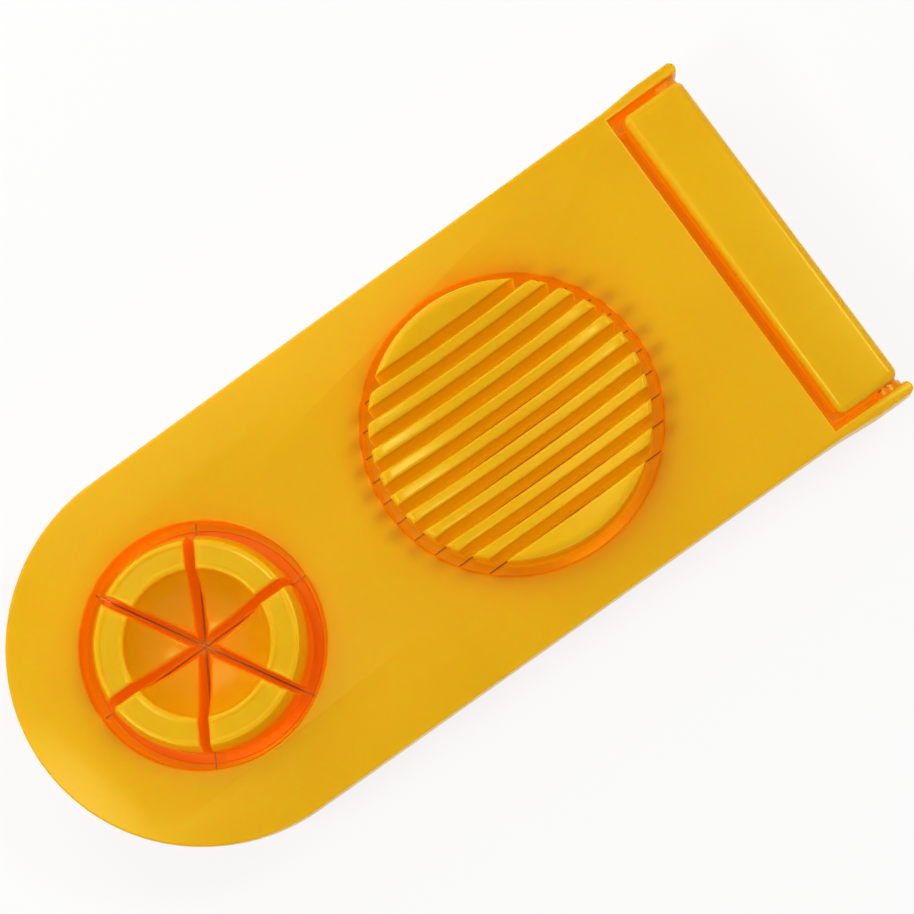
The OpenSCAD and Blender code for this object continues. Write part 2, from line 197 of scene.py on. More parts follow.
def ramp(
    tree: bpy.types.NodeTree, factor: bpy.types.NodeSocket, stops: Sequence[tuple[float, str]]
) -> bpy.types.NodeSocket:
    """Colours a factor with a ramp of sRGB colours.

    Args:
        tree: Node tree that gets the ramp.
        factor: Output socket that drives it.
        stops: Places from 0 to 1, each with a hex colour.

    Returns:
        The ramp's colour output.
    """
    node = add_node(tree, "ShaderNodeValToRGB", inputs={0: factor})
    elements = node.color_ramp.elements
    while len(elements) < len(stops):
        elements.new(0.5)
    for element, (place, colour) in zip(elements, stops):
        element.position = place
        element.color = linear(colour)
    return node.outputs[0]


def sees_background(tree: bpy.types.NodeTree, strength: float) -> bpy.types.NodeSocket:
    """Tells the rays that see or mirror the background from those that light the object.

    Args:
        tree: Node tree that gets the nodes.
        strength: Value for camera, mirror and transmission rays.

    Returns:
        Socket that gives the strength for those rays and nought for all others.
    """
    path = add_node(tree, "ShaderNodeLightPath")
    seen = path.outputs["Is Camera Ray"]
    for kind in ("Is Glossy Ray", "Is Transmission Ray"):
        either = add_node(
            tree, "ShaderNodeMath", {"operation": "MAXIMUM"}, {0: seen, 1: path.outputs[kind]}
        )
        seen = either.outputs[0]
    share = add_node(tree, "ShaderNodeMath", {"operation": "MULTIPLY"}, {0: seen, 1: strength})
    return share.outputs[0]


@dataclass(frozen=True)
class MouldedPlastic:
    """Polypropylene, injection moulded: an even yellow, a little translucent. The deep gaps and slots
    are turned a bright orange by painted shade and a painted orange glow, which stand in for light
    that has come across the walls. Its satin skin shows the flow from the gate as a very slight
    change of tone and of reflection.

    Each pair named sky holds two shares of open sky. Between them the plain colour takes over
    from the painted shade tone, and the painted glow fades out.
    """

    name: str = "yellow_polypropylene_moulded"
    light_tone: str = "E4B306"
    deep_tone: str = "E0AE04"
    # painted shade: the orange tone the colour turns to where little open sky is seen
    shade_tone: str = "E27E00"
    shade_sky: Point2 = (0.55, 0.9)
    ior: float = 1.49
    mirror_tint: str = "FFF45A"
    roughness: float = 0.3
    polish: float = 0.06
    polish_roughness: float = 0.15
    flow_mm: float = 40.0
    grain_mm: float = 0.357
    sink_mm: float = 12.5
    depth_mm: float = 2.4
    depth_rgb: Point3 = (1.0, 0.45, 0.08)
    # painted glow: orange emission in deep gaps, its strength, and the shares of open sky over which
    # it fades
    through_tone: str = "FFAC00"
    through_light: float = 0.2
    through_sky: Point2 = (0.05, 0.7)
    gap_mm: float = 18.0

    def build(self) -> bpy.types.Material:
        """Makes the material.

        Returns:
            The node material.
        """
        mat, tree = node_material(self.name)
        flow = noise(tree, self.flow_mm, Detail=1.0, Distortion=0.3)
        colour = ramp(tree, flow, ((0.3, self.deep_tone), (0.7, self.light_tone)))
        sheen = (self.roughness - 0.03, self.roughness + 0.04)
        gloss = map_range(tree, flow, (0.25, 0.75), sheen)
        grain = noise(tree, self.grain_mm, Detail=2.0, Roughness=0.6)
        skin = add_node(
            tree,
            "ShaderNodeBump",
            inputs={"Strength": 0.06, "Distance": 0.05 * MM, "Height": grain},
        )
        # the skin over ribs and bosses has sunk by a few hundredths
        sink = noise(tree, self.sink_mm, Detail=1.0)
        skin = add_node(
            tree,
            "ShaderNodeBump",
            inputs={
                "Strength": 0.15,
                "Distance": 0.4 * MM,
                "Height": sink,
                "Normal": skin.outputs[0],
            },
        )
        # share of open sky above each point, within the depth of the gaps
        open_sky = add_node(
            tree,
            "ShaderNodeAmbientOcclusion",
            settings={"samples": 8},
            inputs={"Distance": self.gap_mm * MM},
        ).outputs["AO"]
        # painted shade: in a hollow the colour is mixed towards an orange shade tone by the share of
        # open sky, standing in for light that has passed some plastic
        shade = map_range(tree, open_sky, self.shade_sky, (0.0, 1.0))
        colour = add_node(
            tree,
            "ShaderNodeMix",
            settings={"data_type": "RGBA"},
            inputs={0: shade, 6: linear(self.shade_tone), 7: colour},
        ).outputs[2]
        # painted glow: deep in a gap the surface emits orange light, standing in for light that has
        # come across the walls
        through = map_range(tree, open_sky, self.through_sky, (self.through_light, 0.0))
        shader = add_node(
            tree,
            "ShaderNodeBsdfPrincipled",
            inputs={
                "Base Color": colour,
                # painted glow: emission colour and strength
                "Emission Color": linear(self.through_tone),
                "Emission Strength": through,
                "Roughness": gloss,
                "IOR": self.ior,
                "Specular Tint": linear(self.mirror_tint),
                "Normal": skin.outputs[0],
                "Subsurface Weight": 1.0,
                "Subsurface Radius": self.depth_rgb,
                "Subsurface Scale": self.depth_mm * MM,
                "Coat Weight": self.polish,
                "Coat Roughness": self.polish_roughness,
            },
        )
        add_node(tree, "ShaderNodeOutputMaterial", inputs={"Surface": shader.outputs[0]})
        return mat


@dataclass(frozen=True)
class DrawnSteel:
    """Stainless spring steel, drawn to wire: fine draw marks break up its highlight. Its base colour
    is painted a warm brown, a painted reflection of the yellow plastic all round."""

    name: str = "stainless_steel_drawn"
    # painted reflection: both tones are steel tinted brown by the yellow plastic round it; the ramp
    # between them follows the draw marks
    light_tone: str = "B4783C"
    deep_tone: str = "925C2C"
    roughness: float = 0.3
    mark_mm: float = 0.2

    def build(self) -> bpy.types.Material:
        """Makes the material.

        Returns:
            The node material.
        """
        mat, tree = node_material(self.name)
        marks = noise(tree, self.mark_mm, Detail=3.0, Roughness=0.7)
        colour = ramp(tree, marks, ((0.3, self.deep_tone), (0.7, self.light_tone)))
        sheen = (self.roughness - 0.06, self.roughness + 0.1)
        gloss = map_range(tree, marks, (0.0, 1.0), sheen)
        skin = add_node(
            tree,
            "ShaderNodeBump",
            inputs={"Strength": 0.2, "Distance": 0.02 * MM, "Height": marks},
        )
        shader = add_node(
            tree,
            "ShaderNodeBsdfPrincipled",
            inputs={
                "Base Color": colour,
                "Metallic": 1.0,
                "Roughness": gloss,
                "Normal": skin.outputs[0],
            },
        )
        add_node(tree, "ShaderNodeOutputMaterial", inputs={"Surface": shader.outputs[0]})
        return mat


@dataclass(frozen=True)
class WhiteSweep:
    """Matt white studio board: it holds a faint shadow and otherwise runs to clean white."""

    name: str = "white_board_matt"
    tone: str = "F4F4F3"
    roughness: float = 0.9
    lift: float = 0.85

    def build(self) -> bpy.types.Material:
        """Makes the material.

        Returns:
            The node material.
        """
        mat, tree = node_material(self.name)
        board = add_node(
            tree,
            "ShaderNodeBsdfDiffuse",
            inputs={"Color": linear(self.tone), "Roughness": self.roughness},
        )
        white = add_node(tree, "ShaderNodeEmission", inputs={"Strength": 1.0})
        seen = sees_background(tree, self.lift)
        mix = add_node(
            tree,
            "ShaderNodeMixShader",
            inputs={0: seen, 1: board.outputs[0], 2: white.outputs[0]},
        )
        add_node(tree, "ShaderNodeOutputMaterial", inputs={"Surface": mix.outputs[0]})
        return mat


# ---- mesh building ----


def mesh_object(
    name: str, points: Iterable[Point3], faces: Iterable[Sequence[int]]
) -> bpy.types.Object:
    """Makes a mesh object from points in millimetres.

    Args:
        name: Name of the piece.
        points: Corner points.
        faces: Corner numbers of each face.

    Returns:
        The object, with points closer than 0.2 micrometres merged and faces turned outwards.
    """
    mesh = bpy.data.meshes.new(name)
    mesh.from_pydata([Vector(p) * MM for p in points], [], [list(f) for f in faces])
    net = bmesh.new()
    net.from_mesh(mesh)
    bmesh.ops.remove_doubles(net, verts=net.verts, dist=2e-7)
    bmesh.ops.dissolve_degenerate(net, dist=1e-8, edges=net.edges)
    bmesh.ops.recalc_face_normals(net, faces=net.faces)
    net.to_mesh(mesh)
    net.free()
    thing = bpy.data.objects.new(name, mesh)
    bpy.context.scene.collection.objects.link(thing)
    return thing


def smooth(thing: bpy.types.Object, angle_deg: float) -> None:
    """Shades a piece smooth, with edges sharper than an angle kept sharp.

    Args:
        thing: The piece.
        angle_deg: Angle between two faces from which their edge stays sharp.
    """
    mesh = thing.data
    mesh.shade_smooth()
    mesh.set_sharp_from_angle(angle=math.radians(angle_deg))


def dress(thing: bpy.types.Object, material: bpy.types.Material) -> None:
    """Gives a piece one material."""
    thing.data.materials.clear()
    thing.data.materials.append(material)


def combine(thing: bpy.types.Object, tool: bpy.types.Object, how: Cut) -> None:
    """Adds a second solid to a solid, or takes it away, and deletes the second.

    Args:
        thing: Solid that changes.
        tool: Second solid.
        how: What the second solid does.
    """
    step = thing.modifiers.new("step", "BOOLEAN")
    step.operation = how.value
    step.solver = "EXACT"
    step.object = tool
    graph = bpy.context.evaluated_depsgraph_get()
    result = bpy.data.meshes.new_from_object(thing.evaluated_get(graph))
    thing.modifiers.clear()
    old = thing.data
    thing.data = result
    bpy.data.meshes.remove(old)
    spare = tool.data
    bpy.data.objects.remove(tool)
    bpy.data.meshes.remove(spare)


def join_into(thing: bpy.types.Object, others: Iterable[bpy.types.Object]) -> None:
    """Puts the meshes of other objects into one object, as they are.

    Args:
        thing: Object that gets the meshes.
        others: Objects that are used up.
    """
    net = bmesh.new()
    net.from_mesh(thing.data)
    for other in others:
        net.from_mesh(other.data)
        spare = other.data
        bpy.data.objects.remove(other)
        bpy.data.meshes.remove(spare)
    net.to_mesh(thing.data)
    net.free()


def prism(
    name: str, outline: Sequence[Point2], low: float, high: float, across: bool = False
) -> bpy.types.Object:
    """Makes an upright prism from its outline.

    Args:
        name: Name of the object.
        outline: Corners of the outline, x and y, or x and z where it lies across.
        low: Where the prism begins, in z, or in y where it lies across.
        high: Where the prism ends.
        across: Whether the outline stands upright and the prism runs along Y.

    Returns:
        The prism.
    """
    count = len(outline)

    def corner(point: Point2, level: float) -> Point3:
        """Places one corner."""
        return (point[0], level, point[1]) if across else (point[0], point[1], level)

    points = [corner(p, low) for p in outline] + [corner(p, high) for p in outline]
    sides = [(i, (i + 1) % count, count + (i + 1) % count, count + i) for i in range(count)]
    return mesh_object(name, points, sides + [range(count), range(count, 2 * count)])


def arc(centre: Point2, radius: float, start_deg: float, end_deg: float, steps: int) -> list[Point2]:
    """Lists points of an arc.

    Args:
        centre: Centre of the arc.
        radius: Its radius.
        start_deg: Angle of the first point.
        end_deg: Angle of the last point.
        steps: Number of equal steps.

    Returns:
        The points, both ends included.
    """
    angles = [math.radians(start_deg + (end_deg - start_deg) * i / steps) for i in range(steps + 1)]
    return [(centre[0] + radius * math.cos(a), centre[1] + radius * math.sin(a)) for a in angles]


def disc(name: str, x: float, radius: float, low: float, high: float) -> bpy.types.Object:
    """Makes an upright round bar at a place on the tool's middle line."""
    last = ROUND_STEPS - 1
    return prism(name, arc((x, 0.0), radius, 0, 360 * last / ROUND_STEPS, last), low, high)


def lathe(name: str, x: float, section: Sequence[Point2]) -> bpy.types.Object:
    """Turns a closed section about an upright axis on the tool's middle line.

    Args:
        name: Name of the object.
        x: Place of the axis.
        section: Corners of the closed section, radius and z.

    Returns:
        The turned solid.
    """
    count = len(section)
    points, faces = [], []
    for i in range(ROUND_STEPS):
        a = 2 * math.pi * i / ROUND_STEPS
        points += [(x + r * math.cos(a), r * math.sin(a), z) for r, z in section]
        for j in range(count):
            k = (j + 1) % count
            n = (i + 1) % ROUND_STEPS
            faces.append((i * count + j, i * count + k, n * count + k, n * count + j))
    return mesh_object(name, points, faces)


def cell(
    name: str,
    rows: Sequence[Sequence[Point2]],
    height: Callable[[int, int, Point2], float],
    low: float,
) -> bpy.types.Object:
    """Makes a solid with upright sides and a curved top over a grid of points.

    Args:
        name: Name of the object.
        rows: Rows of points seen from above, all of one length.
        height: Gives the top's z for a row number, a column number and the point.
        low: Height of the flat underside.

    Returns:
        The solid.
    """
    n, m = len(rows), len(rows[0])
    points = [(*rows[i][j], height(i, j, rows[i][j])) for i in range(n) for j in range(m)]
    faces = [
        (i * m + j, i * m + j + 1, (i + 1) * m + j + 1, (i + 1) * m + j)
        for i in range(n - 1)
        for j in range(m - 1)
    ]
    rim = (
        [(0, j) for j in range(m)]
        + [(i, m - 1) for i in range(1, n)]
        + [(n - 1, j) for j in range(m - 2, -1, -1)]
        + [(i, 0) for i in range(n - 2, 0, -1)]
    )
    start = len(points)
    points += [(*rows[i][j], low) for i, j in rim]
    for k, (i, j) in enumerate(rim):
        i2, j2 = rim[(k + 1) % len(rim)]
        faces.append((i * m + j, i2 * m + j2, start + (k + 1) % len(rim), start + k))
    faces.append(tuple(range(start, start + len(rim))))
    return mesh_object(name, points, faces)


def soft_step(a: float, b: float, blend: float) -> float:
    """Gives the lower of two heights, with the crease between them rounded.

    Args:
        a: One height.
        b: The other.
        blend: Height over which they run together.

    Returns:
        The rounded lower height.
    """
    h = max(blend - abs(a - b), 0.0) / blend
    return min(a, b) - h * h * blend / 4


def quarter(steps: int) -> list[float]:
    """Lists the angles that divide a quarter turn, both ends included."""
    return [math.pi / 2 * k / steps for k in range(steps + 1)]


def edge_places(length: float, radius: float, inner: int) -> list[float]:
    """Divides a width so that its two rounded edges get close steps.

    Args:
        length: Width to divide.
        radius: Radius of the rounded edges.
        inner: Number of steps between them.

    Returns:
        Distances from one side, from nought to the width.
    """
    r = min(radius, length / 2)
    near = [r * (1 - math.cos(a)) for a in quarter(EDGE_STEPS)]
    middle = [r + (length - 2 * r) * i / inner for i in range(1, inner)]
    return near + middle + [length - d for d in reversed(near)]


def edge_drop(distance: float, radius: float) -> float:
    """Tells how far a rounded edge lies below its flat at a distance from the side."""
    d = min(max(distance, 0.0), radius)
    return radius - math.sqrt(max(radius * radius - (radius - d) ** 2, 0.0))


def round_edges(
    thing: bpy.types.Object, radius: float, chosen: Callable[[Vector, Vector], bool], steps: int = 4
) -> None:
    """Rounds chosen sharp edges of a solid.

    Args:
        thing: The solid.
        radius: Radius in millimetres.
        chosen: Tells whether an edge is to be rounded, from its two ends in millimetres.
        steps: Number of faces across the rounding.
    """
    net = bmesh.new()
    net.from_mesh(thing.data)
    sharp = [
        e
        for e in net.edges
        if len(e.link_faces) == 2
        and e.calc_face_angle(0.0) > math.radians(SOFT_CREASE_DEG)
        and chosen(e.verts[0].co / MM, e.verts[1].co / MM)
    ]
    bmesh.ops.bevel(
        net,
        geom=sharp,
        offset=radius * MM,
        offset_type="OFFSET",
        segments=steps,
        profile=0.5,
        affect="EDGES",
        clamp_overlap=False,
    )
    net.to_mesh(thing.data)
    net.free()


def place(
    thing: bpy.types.Object, body: Body, slot: Slot, material: bpy.types.Material, *nodes: str
) -> None:
    """Dresses a piece, ties it to its body and lets it stand for CAD nodes.

    Args:
        thing: The piece.
        body: Body that it rides on.
        slot: Material slot of the record; not used.
        material: Its material.
        nodes: CAD nodes that it stands for.
    """
    dress(thing, material)
    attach(thing, body.value)
    if nodes:
        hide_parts(*nodes)
    LOG.info("%s: %d faces, rides on %s", thing.name, len(thing.data.polygons), body.value)


# ---- the slicer ----


@dataclass
class Plan:
    """Outline that the cutting frame and the base share, and the places along the tool."""

    wedge_x: float = -55.65
    slice_x: float = 24.75
    rear_x: float = 79.45
    pivot_x: float = 93.65
    pivot_z: float = 21.6
    front_r: float = 42.4
    rear_half: float = 43.2402
    arm_half: float = 43.9402
    bend: float = 9.0
    tip_r: float = 4.4
    boss_r: float = 3.2
    pin_r: float = 2.0

    def side(self, x: float, inset: float) -> float:
        """Gives the outline's half width at a place, set in from the frame's edge."""
        share = (x - self.wedge_x) / (self.rear_x - self.wedge_x)
        return self.front_r + (self.rear_half - self.front_r) * min(max(share, 0.0), 1.0) - inset

    def pin_bar(self, name: str, radius: float, low: float, high: float) -> bpy.types.Object:
        """Makes a round bar along the hinge's axis, between two values of y."""
        round_face = arc((self.pivot_x, self.pivot_z), radius, 0, 350, 35)
        return prism(name, round_face, low, high, True)

    def outline(self, inset: float, end_x: float) -> list[Point2]:
        """Lists the outline of the front and sides, cut off square at the rear.

        Args:
            inset: How far the outline is set in from the frame's edge.
            end_x: Where it is cut off.

        Returns:
            Its corners, from the rear's -Y end round the front.
        """
        front = arc((self.wedge_x, 0.0), self.front_r - inset, 270, 90, 72)
        half = self.side(end_x, inset)
        turn = [(self.rear_x, half)] if end_x > self.rear_x else []
        mirror = [(x, -y) for x, y in turn]
        return [(end_x, -half), *mirror, *front, *turn, (end_x, half)]


@dataclass
class CuttingFrame:
    """Cover plate with its skirt, collars and hinge arms, in one moulding."""

    plan: Plan
    slice_r: float = 32.15
    wedge_r: float = 26.2
    top: float = 26.0
    plate: float = 2.2
    skirt: float = 6.5
    wall: float = 2.1
    arm_height: float = 8.8
    clamp_z: float = 20.625
    slice_collar: float = 36.45
    wedge_collar: float = 30.5
    web_half: float = 36.7902
    web_depth: float = 2.4
    block_half: float = 39.5902
    arm_gap: float = 0.3
    end_flat: float = 0.2
    hole_edge: float = 0.6
    outer_edge: float = 0.6
    side_reach: float = 60.0

    def walls_outline(self) -> list[Point2]:
        """Lists the plan of plate, walls and arms, with the arms' outer corners rounded.

        Returns:
            Its corners.
        """
        p = self.plan
        end, out, inner = p.pivot_x + p.tip_r, p.arm_half, p.rear_half - self.wall
        # the two rounded corners leave a strip of the arm's end flat
        corner = (out - inner - self.end_flat) / 2
        low_side = [
            (p.rear_x, -inner),
            *arc((end - corner, -inner - corner), corner, 90, 0, 8),
            *arc((end - corner, -out + corner), corner, 0, -90, 8),
            (p.rear_x + p.bend, -out),
            (p.rear_x, -p.rear_half),
        ]
        front = arc((p.wedge_x, 0.0), p.front_r, 270, 90, 96)
        high_side = [(x, -y) for x, y in reversed(low_side)]
        return [*low_side, *front, *high_side]

    def side_outline(self) -> list[Point2]:
        """Lists the side view of skirt, deepening and arms.

        Returns:
            Its corners, x and z.
        """
        p = self.plan
        front, low = p.wedge_x - p.front_r - OVERCUT, self.top - self.skirt
        tip = arc((p.pivot_x, p.pivot_z), p.tip_r, -90, 0, 20)
        return [
            (front, self.top),
            (front, low),
            (p.rear_x - p.bend, low),
            (p.rear_x, self.top - self.arm_height),
            *tip,
            (p.pivot_x + p.tip_r, self.top),
        ]

    def build(self, plastic: bpy.types.Material) -> None:
        """Makes the frame and puts it in place.

        Args:
            plastic: Material of the moulding.
        """
        p = self.plan
        low = self.top - self.arm_height - OVERCUT
        body = prism("cover_frame", self.walls_outline(), low, self.top)
        reach = self.side_reach
        combine(body, prism("side", self.side_outline(), -reach, reach, across=True), Cut.KEEP)
        round_edges(body, self.outer_edge, lambda a, b: min(a.z, b.z) > self.top - NEAR)
        plate_low = self.top - self.plate
        hollow_low = self.top - self.arm_height - 2 * OVERCUT
        hollow = prism("hollow", p.outline(self.wall, p.rear_x), hollow_low, plate_low)
        combine(body, hollow, Cut.TAKE)
        bottom = plate_low + BITE
        for name, x, r in (
            ("slice_collar", p.slice_x, self.slice_collar),
            ("wedge_collar", p.wedge_x, self.wedge_collar),
        ):
            combine(body, disc(name, x, r, self.clamp_z, bottom), Cut.ADD)
        web = [
            (p.rear_x - self.wall, -self.web_half),
            (p.rear_x - STEP_BACK, -self.web_half),
            (p.rear_x - STEP_BACK, self.web_half),
            (p.rear_x - self.wall, self.web_half),
        ]
        combine(body, prism("web", web, plate_low - self.web_depth, bottom), Cut.ADD)
        for side in (-1, 1):
            gap = side * (self.block_half + self.arm_gap)
            ends = sorted((gap, side * (p.arm_half - self.wall / 2)))
            combine(body, p.pin_bar("boss", p.boss_r, *ends), Cut.ADD)
        for x, r in ((p.slice_x, self.slice_r), (p.wedge_x, self.wedge_r)):
            hole = disc("opening", x, r, self.clamp_z - OVERCUT, self.top + OVERCUT)
            combine(body, hole, Cut.TAKE)
            centre = Vector((x, 0.0))
            round_edges(
                body,
                self.hole_edge,
                lambda a, b: min(a.z, b.z) > self.top - NEAR
                and abs((a.xy - centre).length - r) < NEAR
                and abs((b.xy - centre).length - r) < NEAR,
            )
        smooth(body, CREASE_DEG)
        place(body, Body.FRAME, Slot.PLASTIC, plastic, "cutting_frame")


@dataclass
class BaseTray:
    """Base: a hollow tray with its rim, deck and raised hinge block."""

    plan: Plan
    overhang: float = 3.65
    wall: float = 2.2
    deck_low: float = 15.2
    deck_top: float = 17.4
    rim_top: float = 23.5
    block_front: float = 81.65
    block_rear: float = 96.95
    block_top: float = 28.0
    block_edge: float = 2.0
    cradle_r: float = 29.85
    cup_r: float = 22.85
    rib: float = 1.8
    rib_depth: float = 6.0
    rib_x: tuple[float, float] = (-18.95, 59.75)
    pin_root: float = 8.0
    bore_floor: float = 0.5
    ledge_top: float = 16.056
    ledge_t: float = 4.0
    ledge_lead: float = 3.0
    ledge_inset: float = 0.4

    def box(self, name: str, low: Point3, high: Point3) -> bpy.types.Object:
        """Makes a box from its lowest and highest corners."""
        outline = [(low[0], low[1]), (high[0], low[1]), (high[0], high[1]), (low[0], high[1])]
        return prism(name, outline, low[2], high[2])

    def build(self, plastic: bpy.types.Material) -> None:
        """Makes the tray and puts it in place.

        Args:
            plastic: Material of the moulding.
        """
        p, w = self.plan, self.wall
        half = p.rear_half - self.overhang
        body = prism("base_shell", p.outline(self.overhang, self.block_rear), 0, self.deck_top)
        rim_outline = p.outline(self.overhang, self.block_front + self.block_edge)
        combine(body, prism("rim", rim_outline, OVERCUT, self.rim_top), Cut.ADD)
        foot = self.deck_low
        block = self.box(
            "block", (self.block_front, -half, foot), (self.block_rear, half, self.block_top)
        )
        round_edges(block, self.block_edge, lambda a, b: max(a.z, b.z) > foot + BITE, 8)
        combine(body, block, Cut.ADD)
        well_outline = p.outline(self.overhang + w, self.block_front)
        well = prism("well", well_outline, self.deck_top, self.block_top + OVERCUT)
        combine(body, well, Cut.TAKE)
        under_outline = p.outline(self.overhang + w, self.block_rear - w)
        combine(body, prism("under", under_outline, -OVERCUT, self.deck_low), Cut.TAKE)
        room = self.box(
            "room",
            (self.block_front + w, -half + w, self.deck_low - OVERCUT),
            (self.block_rear - w, half - w, self.block_top - w),
        )
        combine(body, room, Cut.TAKE)
        for x, r in ((p.slice_x, self.cradle_r), (p.wedge_x, self.cup_r)):
            hole = disc("deck_hole", x, r, self.deck_low - OVERCUT, self.deck_top + OVERCUT)
            combine(body, hole, Cut.TAKE)
        self.add_details(body, half)
        smooth(body, CREASE_DEG)
        place(body, Body.BASE, Slot.PLASTIC, plastic, "base_tray")

    def add_details(self, body: bpy.types.Object, half: float) -> None:
        """Adds the deck's ribs, the pins' bosses and the ledges that stop the arms.

        Args:
            body: The tray.
            half: Half width of the hinge block.
        """
        p, w, rib = self.plan, self.wall, self.rib / 2
        low, high = self.deck_low - self.rib_depth, self.deck_low + BITE
        span = half - w + BITE
        parts = [self.box("rib", (x - rib, -span, low), (x + rib, span, high)) for x in self.rib_x]
        for y in (-half / 2, half / 2):
            start, end = self.rib_x[1], self.block_front + w / 2
            parts.append(self.box("rib", (start, y - rib, low), (end, y + rib, high)))
        for side in (-1, 1):
            ends = sorted((side * (half - w / 2), side * (half - w / 2 - self.pin_root)))
            parts.append(p.pin_bar("boss", p.boss_r, *ends))
            ends = sorted((side * (half - w / 2), side * (p.rear_half - self.ledge_inset)))
            front, rear = p.rear_x - self.ledge_lead, self.block_rear - STEP_BACK
            low_z = self.ledge_top - self.ledge_t
            parts.append(self.box("ledge", (front, ends[0], low_z), (rear, ends[1], self.ledge_top)))
        for part in parts:
            combine(body, part, Cut.ADD)
        for side in (-1, 1):
            bore_end = half - self.pin_root + self.bore_floor
            ends = sorted((side * (half + OVERCUT), side * bore_end))
            combine(body, p.pin_bar("bore", p.pin_r, *ends), Cut.TAKE)


@dataclass
class Insert:
    """Round foot of an insert: a wall that drops into the deck's hole, a flange that lies on the
    deck, and a floor under the slots."""

    radius: float
    deck_top: float = 17.4
    low: float = 15.2
    floor: float = 18.6
    flange: float = 2.2
    flange_edge: float = 0.3
    skin: float = 1.8
    pocket_top: float = 17.0

    def build(self, name: str, x: float) -> bpy.types.Object:
        """Makes the foot.

        Args:
            name: Name of the object.
            x: Place of its axis on the tool's middle line.

        Returns:
            The foot.
        """
        wall, edge, inside = self.radius, self.flange_edge, self.radius - self.skin
        rim = wall + self.flange
        section = [
            (0, self.pocket_top),
            (inside, self.pocket_top),
            (inside, self.low),
            (wall, self.low),
            (wall, self.deck_top),
            (rim - edge, self.deck_top),
            (rim, self.deck_top + edge),
            (rim, self.floor - edge),
            (rim - edge, self.floor),
            (0, self.floor),
        ]
        return lathe(name, x, section)

    def finish(self, body: bpy.types.Object, parts: list[bpy.types.Object], x: float) -> None:
        """Stands the parts between the slots on the foot.

        Args:
            body: The foot.
            parts: The parts, made about the frame's origin.
            x: Place of the axis on the tool's middle line.
        """
        for part in parts:
            part.data.transform(Matrix.Translation((x * MM, 0.0, 0.0)))
        join_into(body, parts)
        smooth(body, SOFT_CREASE_DEG)


@dataclass
class SlicingCradle:
    """Ribbed cradle: nine ribs and two end crescents, with a shallow hollow across their tops."""

    plan: Plan
    radius: float = 29.8
    top: float = 35.5
    dip: float = 5.0
    rim_r: float = 1.2
    crease: float = 0.25
    rib_edge: float = 0.65
    slot: float = 2.4
    pitch: float = 5.05
    wires: int = 10
    foot_z: float = 18.1
    half_steps: int = 20
    ring_steps: int = 14
    turn_steps: int = 28

    def top_at(self, rho: float) -> float:
        """Gives the height of the tops at a distance from the cradle's middle.

        Args:
            rho: Distance from the middle.

        Returns:
            Height of the hollow or of the rounded rim, with a soft crease between them.
        """
        reach = self.radius - 1.6 * self.rim_r
        bowl = (reach * reach + self.dip * self.dip) / (2 * self.dip)
        hollow = self.top - self.dip + bowl - math.sqrt(bowl * bowl - rho * rho)
        rim = self.top - edge_drop(self.radius - rho, self.rim_r)
        return soft_step(hollow, rim, self.crease)

    def rim_rings(self) -> list[float]:
        """Lists the distances from the middle that divide the rounded rim."""
        inner = self.radius - self.rim_r
        return [inner + self.rim_r * math.sin(a) for a in quarter(RIM_STEPS)[1:]]

    def rib(self, y_low: float, y_high: float) -> bpy.types.Object:
        """Makes one straight rib between two slots.

        Args:
            y_low: Its lower side.
            y_high: Its upper side.

        Returns:
            The rib.
        """
        width = y_high - y_low
        places = edge_places(width, self.rib_edge, 3)
        inner = self.radius - self.rim_r
        rows = []
        for d in places:
            y = y_low + d
            span = math.sqrt(inner * inner - y * y)
            half = [span * k / self.half_steps for k in range(1, self.half_steps + 1)]
            half += [math.sqrt(r * r - y * y) for r in self.rim_rings()]
            rows.append([(-x, y) for x in reversed(half)] + [(0.0, y)] + [(x, y) for x in half])

        def height(i: int, _j: int, point: Point2) -> float:
            """Gives the top's height at a point of the grid."""
            d = min(places[i], width - places[i])
            return self.top_at(math.hypot(*point)) - edge_drop(d, self.rib_edge)

        return cell("rib", rows, height, self.foot_z)

    def crescent(self, y_low: float) -> bpy.types.Object:
        """Makes the outermost rib on the +Y side, bounded by the round wall.

        Args:
            y_low: Its straight side.

        Returns:
            The rib.
        """
        width = self.radius - self.rim_r - y_low
        # rings lie closer together near the straight side, where the rib is thin
        shares = [(k / self.ring_steps) ** 1.3 for k in range(1, self.ring_steps + 1)]
        rings = [y_low + STEP_BACK + width * share for share in shares] + self.rim_rings()
        edge = edge_places(2 * self.rib_edge, self.rib_edge, 1)[: EDGE_STEPS + 1]
        rows = []
        for rho in rings:
            reach = rho - y_low
            near = [min(d, reach) for d in edge]
            start = [math.asin(min((y_low + d) / rho, 1.0)) for d in near]
            last = start[-1]
            n = self.turn_steps
            middle = [last + (math.pi - 2 * last) * k / n for k in range(1, n)]
            angles = start + middle + [math.pi - a for a in reversed(start)]
            rows.append([(rho * math.cos(a), rho * math.sin(a)) for a in angles])

        def height(_i: int, _j: int, point: Point2) -> float:
            """Gives the top's height at a point of the grid."""
            return self.top_at(math.hypot(*point)) - edge_drop(point[1] - y_low, self.rib_edge)

        return cell("crescent", rows, height, self.foot_z)

    def build(self, plastic: bpy.types.Material) -> None:
        """Makes the cradle and puts it in place.

        Args:
            plastic: Material of the moulding.
        """
        foot, x = Insert(self.radius), self.plan.slice_x
        body = foot.build("cradle_insert", x)
        slots = [(i - (self.wires - 1) / 2) * self.pitch for i in range(self.wires)]
        side = self.slot / 2
        ribs = [self.rib(a + side, b - side) for a, b in zip(slots[:-1], slots[1:])]
        for turn in (0.0, math.pi):
            end = self.crescent(slots[-1] + side)
            end.data.transform(Euler((0, 0, turn)).to_matrix().to_4x4())
            ribs.append(end)
        foot.finish(body, ribs, x)
        place(body, Body.BASE, Slot.PLASTIC, plastic, "slicing_cradle")


